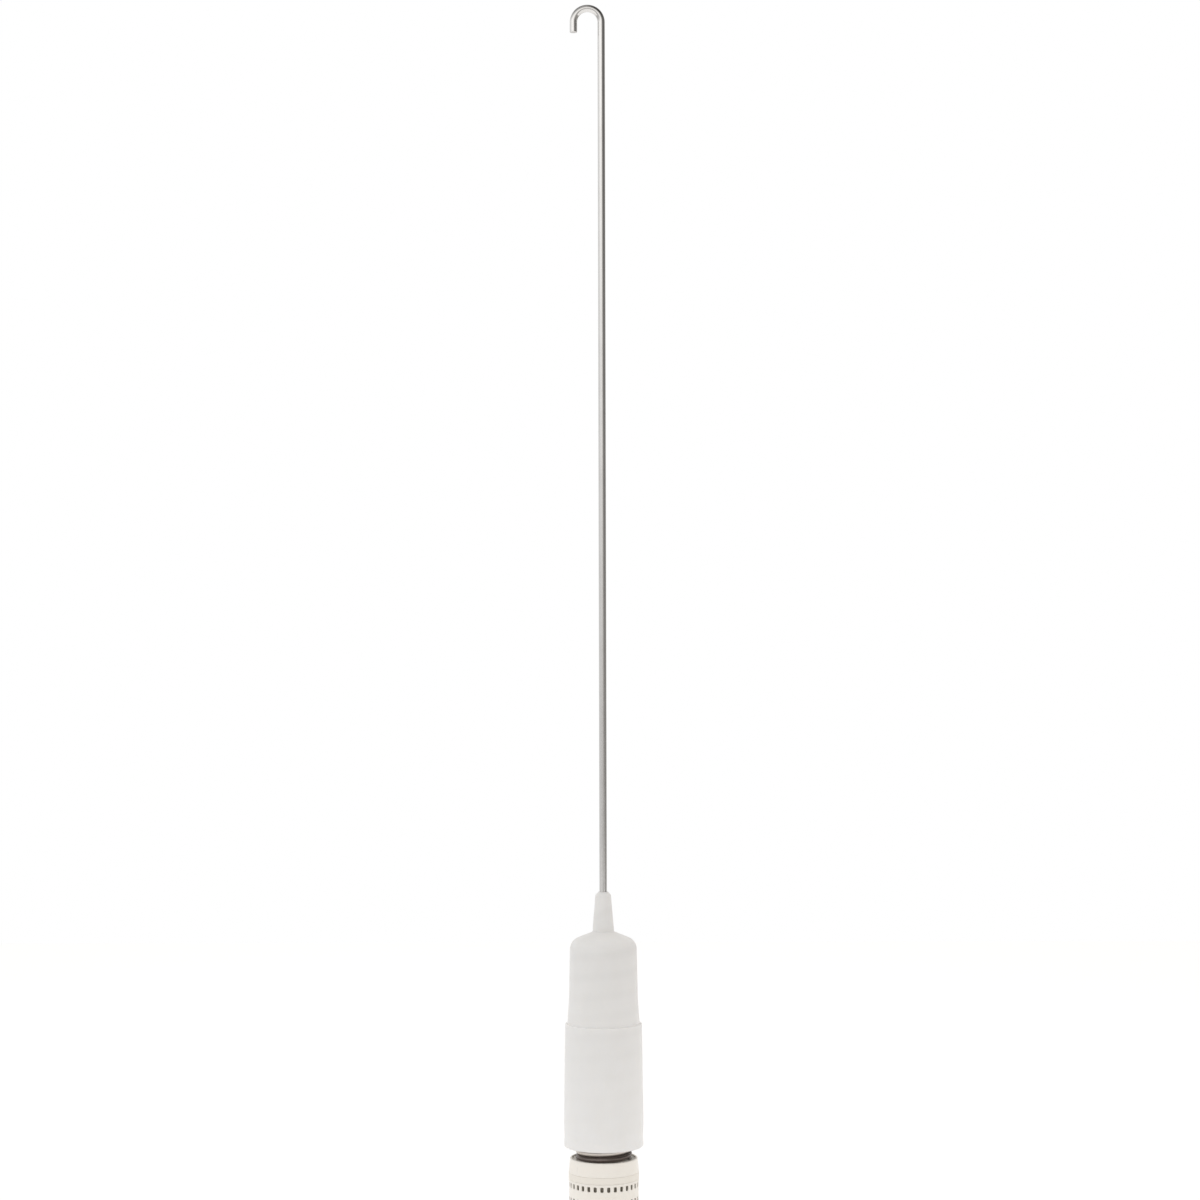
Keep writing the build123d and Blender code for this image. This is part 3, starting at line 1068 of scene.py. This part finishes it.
    def web_shells(self) -> None:
        """Adds the webs under the deck: upright bars from the hub to the skirt."""
        half = self.web_thickness / 2
        top, bottom = self.under_deck + 0.3 * MM, self.under_deck - self.web_height
        section = rounded(
            [
                (-half, top, 0.0), (-half * 0.85, bottom, 0.4 * MM),
                (half * 0.85, bottom, 0.4 * MM), (half, top, 0.0),
            ]
        )
        reach = np.array([self.hub_radius - 0.3 * MM, self.skirt_inside + 0.3 * MM])[:, None]
        for number in range(self.webs):
            turn = (number + 0.5) * FULL_TURN / self.webs
            x = self.axis.x + reach * math.cos(turn) - section[None, :, 0] * math.sin(turn)
            y = reach * math.sin(turn) + section[None, :, 0] * math.cos(turn)
            points = gathered(x, y, section[None, :, 1])
            self.shells.add(points, Winding.TUBE, reach[:, 0], path_lengths(section))

    def cup(self) -> bpy.types.Object:
        """Builds the base from its wall, hub, deck and webs, with the mould's pin marks.

        Returns:
            The base.
        """
        self.wall_shell()
        self.hub_shell()
        self.deck_shells()
        self.web_shells()
        reach = (self.hub_radius + self.skirt_inside) / 2 + 2.2 * MM
        self.axis.disc_circle(self.shells, self.webs, 0.0, reach, self.under_deck, 1.5 * MM, -0.12 * MM)
        return self.shells.piece("base_cup")

    def split_ring(self) -> bpy.types.Object:
        """Builds the friction ring with its gap at the back.

        Returns:
            The ring.
        """
        low, high = self.ring_low.z, self.ring_high.z
        outside, inside = self.ring_high.x - self.axis.x, self.radius - self.groove_depth + 0.05 * MM
        outline = rounded([
            (inside, low, 0.1 * MM), (outside, low, 0.25 * MM), (outside, high, 0.25 * MM),
            (inside, high, 0.1 * MM),
        ])
        gap = np.arcsin(0.4 * MM / outline[:, 0])
        shells = Shells()
        self.axis.part_ring(shells, outline, -math.pi / 2, math.pi - gap, 181)
        return shells.piece("friction_ring")

    def build(self) -> None:
        """Makes and dresses the cup and its ring."""
        cream = PocketedPlastic(
            name="cream_nylon", colour=(0.905, 0.87, 0.81), cloud=(0.88, 0.835, 0.765), roughness=0.40,
            glow=0.08, axis_x=self.axis.x, skirt=self.skirt, top=self.band_bottom,
            bottom=self.hoop_bottom - self.pocket_height, depth=self.pocket_depth
        )
        dress(self.cup(), cream, "base_plastic", "base", "damper_base")
        ring = MouldedPlastic("ring_nylon", (0.88, 0.84, 0.77), (0.85, 0.80, 0.72), 0.46, 0.08)
        dress(self.split_ring(), ring, "ring_plastic", "base", "piston_ring")


@dataclass
class SpringSeat:
    """The flanged ring between the spring's top turn and the crown."""

    axis: RodAxis
    hole: float = 7.05 * MM
    collar_radius: float = 11.75 * MM
    hub_height: float = 1.7 * MM
    flange: float = 1.8 * MM

    def ring(self) -> bpy.types.Object:
        """Builds the seat by turning its outline.

        Returns:
            The seat.
        """
        low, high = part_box("upper_spring_seat")
        flange_top = high.z - self.hub_height
        corners = [
            (self.hole, low.z, 0.4 * MM), (self.collar_radius, low.z, 0.8 * MM),
            (self.collar_radius, flange_top - self.flange, 0.2 * MM),
            (high.y, flange_top - self.flange, 0.5 * MM), (high.y, flange_top, 0.5 * MM),
            (self.collar_radius, flange_top, 0.3 * MM),
            (self.collar_radius - self.hub_height, high.z, 0.3 * MM),
            (self.hole, high.z, 0.4 * MM),
        ]
        return self.axis.turned("spring_seat", 120, corners)

    def build(self) -> None:
        """Makes and dresses the seat."""
        cream = MouldedPlastic("seat_nylon", (0.80, 0.75, 0.68), (0.76, 0.70, 0.62), 0.42, 0.10)
        dress(self.ring(), cream, "seat_plastic", "upper_seat", "upper_spring_seat")


@dataclass
class NeckBush:
    """The slotted bush that grips the rod, and the rubber ring round its fingers."""

    axis: RodAxis
    bore: float = 2.05 * MM
    radius: float = 3.75 * MM
    collar_height: float = 1.5 * MM
    finger_length: float = 8.3 * MM
    slot: float = 0.8 * MM
    fingers: int = 4
    groove_depth: float = 0.55 * MM
    section: float = 0.85 * MM

    def __post_init__(self) -> None:
        """Reads the bush's and the ring's places from the frame."""
        low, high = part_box("friction_bush")
        self.top, self.finger_end = high.z, low.z
        self.collar_radius = high.y
        self.collar_bottom = self.finger_end + self.finger_length
        ring_low, ring_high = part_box("bush_o_ring")
        self.ring_height = (ring_low.z + ring_high.z) / 2
        self.ring_radius = ring_high.y - self.section

    def bush(self) -> bpy.types.Object:
        """Builds the sleeve and collar as one turned outline and the fingers as part rings.

        A finger's half turn is a half of its share less the arcsine of half the slot over
        the radius, which keeps the slots' walls parallel.

        Returns:
            The bush.
        """
        dome = self.collar_bottom + self.collar_height
        shells = Shells()
        sleeve = rounded([
            (self.bore, self.collar_bottom, 0.1 * MM), (self.collar_radius, self.collar_bottom, 0.3 * MM),
            (self.collar_radius, dome, 0.1 * MM), (self.radius, dome, 0.1 * MM),
            (self.radius, self.top, 0.3 * MM), (self.bore, self.top, 0.2 * MM),
        ])
        self.axis.ring(shells, sleeve, 72)
        groove = self.radius - self.groove_depth
        finger = rounded([
            (self.bore, self.finger_end, 0.15 * MM), (self.radius, self.finger_end, 0.5 * MM),
            (self.radius, self.ring_height - 0.9 * MM, 0.1 * MM),
            (groove, self.ring_height - 0.9 * MM, 0.1 * MM), (groove, self.ring_height + 0.9 * MM, 0.1 * MM),
            (self.radius, self.ring_height + 0.9 * MM, 0.1 * MM),
            (self.radius, self.collar_bottom + 0.1 * MM, 0.0),
            (self.bore, self.collar_bottom + 0.1 * MM, 0.0),
        ])
        half = math.pi / self.fingers - np.arcsin(self.slot / 2 / finger[:, 0])
        for number in range(self.fingers):
            self.axis.part_ring(shells, finger, (number + 0.5) * FULL_TURN / self.fingers, half, 20)
        return shells.piece("neck_bush")

    def rubber_ring(self) -> bpy.types.Object:
        """Builds the ring: a circle turned round the axis, with a thin moulding line outside.

        Returns:
            The ring.
        """
        angle = np.arange(36) * FULL_TURN / 36
        size = self.section * (1 - 0.03 + 0.03 * np.exp(-((np.sin(angle / 2) / 0.09) ** 2)))
        radius = self.ring_radius + size * np.cos(angle)
        outline = np.stack([radius, self.ring_height + size * np.sin(angle)], axis=-1)
        shells = Shells()
        self.axis.ring(shells, outline, 72)
        return shells.piece("rubber_ring")

    def build(self) -> None:
        """Makes and dresses the bush and its rubber ring."""
        white = MouldedPlastic("bush_acetal", (0.76, 0.75, 0.71), (0.73, 0.71, 0.66), 0.36, 0.10)
        dress(self.bush(), white, "bush_plastic", "bush", "friction_bush")
        rubber = MouldedRubber("ring_rubber", (0.022, 0.022, 0.023), (0.07, 0.07, 0.068))
        dress(self.rubber_ring(), rubber, "o_ring_rubber", "bush", "bush_o_ring")


@dataclass
class Housing:
    """The damper housing: tapered neck, crown, spring chamber, step and barrel."""

    axis: RodAxis
    coil: Coil
    hole: float = 2.3 * MM
    nose_radius: float = 4.15 * MM
    nose_chamfer: float = 2.0 * MM
    neck_root: float = 5.8 * MM
    neck_length: float = 21.8 * MM
    crown_drop: float = 5.0 * MM
    shoulder: float = 17.9 * MM
    shoulder_round: float = 6.5 * MM
    waist: float = 18.59 * MM
    waist_drop: float = 19.8 * MM
    flare: float = 19.5 * MM
    step: float = 20.7 * MM
    bore: float = 19.3 * MM
    ledge_radius: float = 16.9 * MM
    chamber: float = 16.3 * MM
    chamber_round: float = 5.6 * MM
    pocket: float = 3.8 * MM
    bush_length: float = 12.7 * MM
    chamber_depth: float = 47.1 * MM
    ledge_thickness: float = 1.8 * MM
    bead: float = 4.6 * MM
    seam: float = 0.05 * MM
    seam_width: float = 0.14 * MM
    gate_reach: float = 9.6 * MM
    gate_angle: float = math.radians(98)
    pins: int = 4
    pin_reach: float = 8.6 * MM

    def __post_init__(self) -> None:
        """Reads the housing's ends and radius from the frame."""
        low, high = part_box("damper_housing")
        self.top, self.rim = high.z, low.z
        self.radius = high.y
        self.root = self.top - self.neck_length
        self.edge = self.root - self.crown_drop
        self.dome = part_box("upper_spring_seat")[1].z
        self.ledge = self.dome - self.chamber_depth
        self.step_height = self.ledge + self.ledge_thickness

    def outline(self) -> np.ndarray:
        """Outline of the moulding: outside from the nose down, then inside from the rim up.

        Returns:
            Points as radius and height.
        """
        return rounded([
            (self.hole, self.top, 0.2 * MM), (self.nose_radius, self.top - self.nose_chamfer, 0.7 * MM),
            (self.neck_root, self.root, 0.9 * MM), (self.shoulder, self.edge, self.shoulder_round),
            (self.waist, (self.edge - self.waist_drop + self.step_height) / 2, 494 * MM),
            (self.flare, self.step_height, 0.35 * MM), (self.step, self.step_height, 0.35 * MM),
            (self.radius, self.rim + 3 * self.bead, 60 * MM),
            (self.radius - 0.25 * MM, self.rim + self.bead, 8 * MM),
            (self.radius, self.rim + self.bead / 2, 3 * MM), (self.radius, self.rim, 1.6 * MM),
            (self.bore, self.rim, 0.35 * MM), (self.bore, self.ledge, 0.3 * MM),
            (self.ledge_radius, self.ledge, 0.3 * MM), (self.chamber, self.dome, self.chamber_round),
            (self.pocket, self.dome, 0.2 * MM), (self.pocket, self.dome + self.bush_length, 0.1 * MM),
            (self.hole, self.dome + self.bush_length, 0.1 * MM),
        ], steps=9)

    def shell(self) -> bpy.types.Object:
        """Builds the housing by turning its outline, with the mould's seam on both sides.

        The seam stands out by its height times a bell curve of the distance round from the
        mould's parting plane over the seam's width, on outside faces only.

        Returns:
            The housing.
        """
        outline = self.outline()
        even = np.arange(176) * FULL_TURN / 176
        close = np.linspace(-3, 3, 9) * self.seam_width / self.radius
        angle = np.unique(np.round(np.concatenate([even, close % FULL_TURN, math.pi + close]), 6))
        radius, height = outline[:, :1], outline[:, 1:]
        outside = (np.arange(len(outline)) < outline[:, 1].argmin())[:, None]
        off = np.abs((angle + math.pi / 2) % math.pi - math.pi / 2) * radius
        bulge = outside * self.seam * np.exp(-((off / self.seam_width) ** 2))
        points = self.axis.place(radius + bulge, angle[None], height)
        around = np.concatenate([angle, [FULL_TURN]]) * self.radius
        shells = Shells()
        shells.add(points, Winding.RING, path_lengths(outline), around)
        slope = self.crown_drop / (self.shoulder - self.neck_root)
        foot = self.root - slope * (self.gate_reach - self.neck_root) - 0.1 * MM
        first = self.gate_angle / FULL_TURN
        self.axis.disc_circle(shells, 1, first, self.gate_reach, foot, 0.9 * MM, 0.5 * MM)
        self.axis.disc_circle(shells, self.pins, 0.5, self.pin_reach, self.dome, 1.0 * MM, -0.1 * MM)
        return shells.piece("housing_shell")

    def build(self) -> None:
        """Makes and dresses the housing."""
        coil = self.coil
        first_open = coil.closed_turns + coil.blend_turns
        wire_height = float(coil.centre_height(np.array([first_open]))[0]) - coil.pitch * (
            first_open + coil.tip_angle / FULL_TURN
        )
        white = ThinMoulding(
            "white_polypropylene", (0.85, 0.843, 0.832), (0.83, 0.822, 0.807), 0.38, 0.22, axis_x=self.axis.x,
            pitch=coil.pitch, wire_height=wire_height, fade_top=self.edge, fade_bottom=self.rim
        )
        dress(self.shell(), white, "housing_plastic", "housing", "damper_housing")


@dataclass
class Studio:
    """Pale floor, soft lamps and the camera."""

    low: Sequence[float]
    high: Sequence[float]
    axis: RodAxis
    distance: float = 1.474
    lens: float = 81.8
    camera_x: float = 6.15 * MM
    camera_rise: float = 2.7 * MM
    roll: float = math.radians(0.135)
    floor_drop: float = 46 * MM
    floor_size: float = 3.0
    floor_albedo: float = 0.8
    floor_lift: float = 0.2
    front_light: float = 0.78
    back_light: float = 1.02
    upward_light: float = 0.12
    mirror_level: float = 1.3
    ceiling_level: float = 0.42

    def camera(self) -> None:
        """Puts the camera level in front of the middle of the rod, looking along +Y."""
        data = bpy.data.cameras.new("camera")
        data.lens = self.lens
        data.sensor_width = 36.0
        made = bpy.data.objects.new("camera", data)
        made.location = (self.camera_x, -self.distance, (self.high[2] + self.low[2]) / 2 + self.camera_rise)
        made.rotation_euler = (math.pi / 2, self.roll, 0.0)
        bpy.context.collection.objects.link(made)
        bpy.context.scene.camera = made

    def floor(self) -> None:
        """Lays the floor: white to the camera and in reflections, with its shadow kept.

        From below it lets the view through, so that the object's underside can be seen.
        """
        half, height = self.floor_size / 2, self.low[2] - self.floor_drop
        corners = gathered(np.array([-half, half, half, -half]), np.array([-half, -half, half, half]), height)
        mesh = bpy.data.meshes.new("floor")
        mesh.from_pydata(corners.tolist(), [], [(0, 1, 2, 3)])
        floor = bpy.data.objects.new("floor", mesh)
        bpy.context.collection.objects.link(floor)
        graph = Graph(bpy.data.materials.new("floor_white"))
        grey = (self.floor_albedo,) * 3
        graph.finish(Base_Color=(*grey, 1.0), Roughness=0.9, Specular_IOR_Level=0.0)
        rays = graph.add("LightPath")
        seen = graph.math("MAXIMUM", rays.outputs["Is Camera Ray"], rays.outputs["Is Glossy Ray"])
        seen = graph.math("MAXIMUM", seen, rays.outputs["Is Transmission Ray"])
        strength = graph.math("MULTIPLY", seen, self.floor_lift)
        white = graph.add("Emission", None, Color=(1.0, 1.0, 1.0, 1.0), Strength=strength)
        both = graph.add("AddShader", None, in0=graph.shader.outputs[0], in1=white.outputs[0])
        below = graph.add("NewGeometry").outputs["Backfacing"]
        clear = graph.add("BsdfTransparent").outputs[0]
        shown = graph.add("MixShader", None, in0=below, in1=both.outputs[0], in2=clear)
        graph.links.new(shown.outputs[0], graph.nodes["Material Output"].inputs["Surface"])
        floor.data.materials.append(graph.owner)

    def world(self) -> None:
        """Surrounds the object with a pale room.

        Matt surfaces get light that grows from the camera's side to the back and from below
        to above, and is a little warmer from +X. Polished ones mirror a room whose brightness follows the
        direction's angle from the camera's side towards +X: pale all round but for one
        dark screen, with less contrast low down than high up, under a dim ceiling. The
        camera sees plain white.
        """
        world = bpy.data.worlds.new("studio")
        bpy.context.scene.world = world
        graph = Graph(world)
        split = graph.add("SeparateXYZ", None, in0=graph.add("TexCoord").outputs["Generated"])
        x, y, z = split.outputs
        rays = graph.add("LightPath").outputs
        angle = graph.math("ARCTAN2", x, graph.math("MULTIPLY", y, -1.0))
        turn = graph.span(angle, 0, 1, -math.pi, math.pi)
        high = graph.levels(turn, [((degrees + 180) / 360, level) for degrees, level in HIGH_ROOM])
        low = graph.levels(turn, [((degrees + 180) / 360, level) for degrees, level in LOW_ROOM])
        mirrored = graph.pick(graph.span(z, 0, 1, -0.09, 0.19), low, high)
        ceiling = graph.span(z, self.mirror_level, self.ceiling_level, 0.3, 0.75)
        mirrored = graph.math("MULTIPLY", mirrored, ceiling)
        level, lift = self.front_light, self.upward_light
        even = graph.math(
            "ADD", graph.span(y, level, self.back_light, -1, 1), graph.span(z, -lift, lift, -1, 1)
        )
        strength = graph.pick(rays["Is Glossy Ray"], even, mirrored)
        seen = graph.math("MAXIMUM", rays["Is Camera Ray"], rays["Is Transmission Ray"])
        background = graph.nodes["Background"]
        tint = graph.blend(graph.span(x, 0, 1, -1, 1), (1.0, 1.0, 1.0), (1.0, 0.965, 0.93))
        graph.set(background.inputs["Color"], graph.blend(seen, tint, (1.0, 1.0, 1.0)))
        graph.set(background.inputs["Strength"], graph.pick(seen, strength, 1.0))

    def lamp(self, name: str, place: tuple[float, float, float], size: float, watts: float) -> None:
        """Hangs a square soft lamp that faces the middle of the object.

        Args:
            name: The lamp's name.
            place: Its offset from the middle of the object.
            size: Its side.
            watts: Its power.
        """
        data = bpy.data.lights.new(name, "AREA")
        data.shape = "SQUARE"
        data.size = size
        data.energy = watts
        made = bpy.data.objects.new(name, data)
        middle = np.array([self.axis.x, 0.0, (self.high[2] + self.low[2]) / 2])
        made.location = middle + np.array(place)
        offset = np.array(place)
        yaw, pitch = math.atan2(offset[0], -offset[1]), math.acos(offset[2] / np.linalg.norm(offset))
        made.rotation_euler = (pitch, 0.0, yaw)
        made.visible_glossy = False
        bpy.context.collection.objects.link(made)

    def build(self) -> None:
        """Makes the whole studio."""
        bpy.context.scene.view_settings.view_transform = "Standard"
        self.camera()
        self.floor()
        self.world()
        for name, place, size, watts in LAMPS:
            self.lamp(name, place, size, watts)
        log.info("studio: camera, floor, world and %d lamps", len(LAMPS))


def main() -> None:
    """Builds the pieces in order, then the studio."""
    logging.basicConfig(level=logging.INFO, format="%(message)s")
    low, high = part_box("damper_housing")
    axis = RodAxis(round((low.x + high.x) / 2, 6))
    coil = Coil(axis)
    HookRod(axis).build()
    coil.build()
    BaseCup(axis, seat=coil.foot).build()
    SpringSeat(axis).build()
    NeckBush(axis).build()
    Housing(axis, coil).build()
    Studio(cad_low, cad_high, axis).build()


if __name__ == "__main__":
    main()
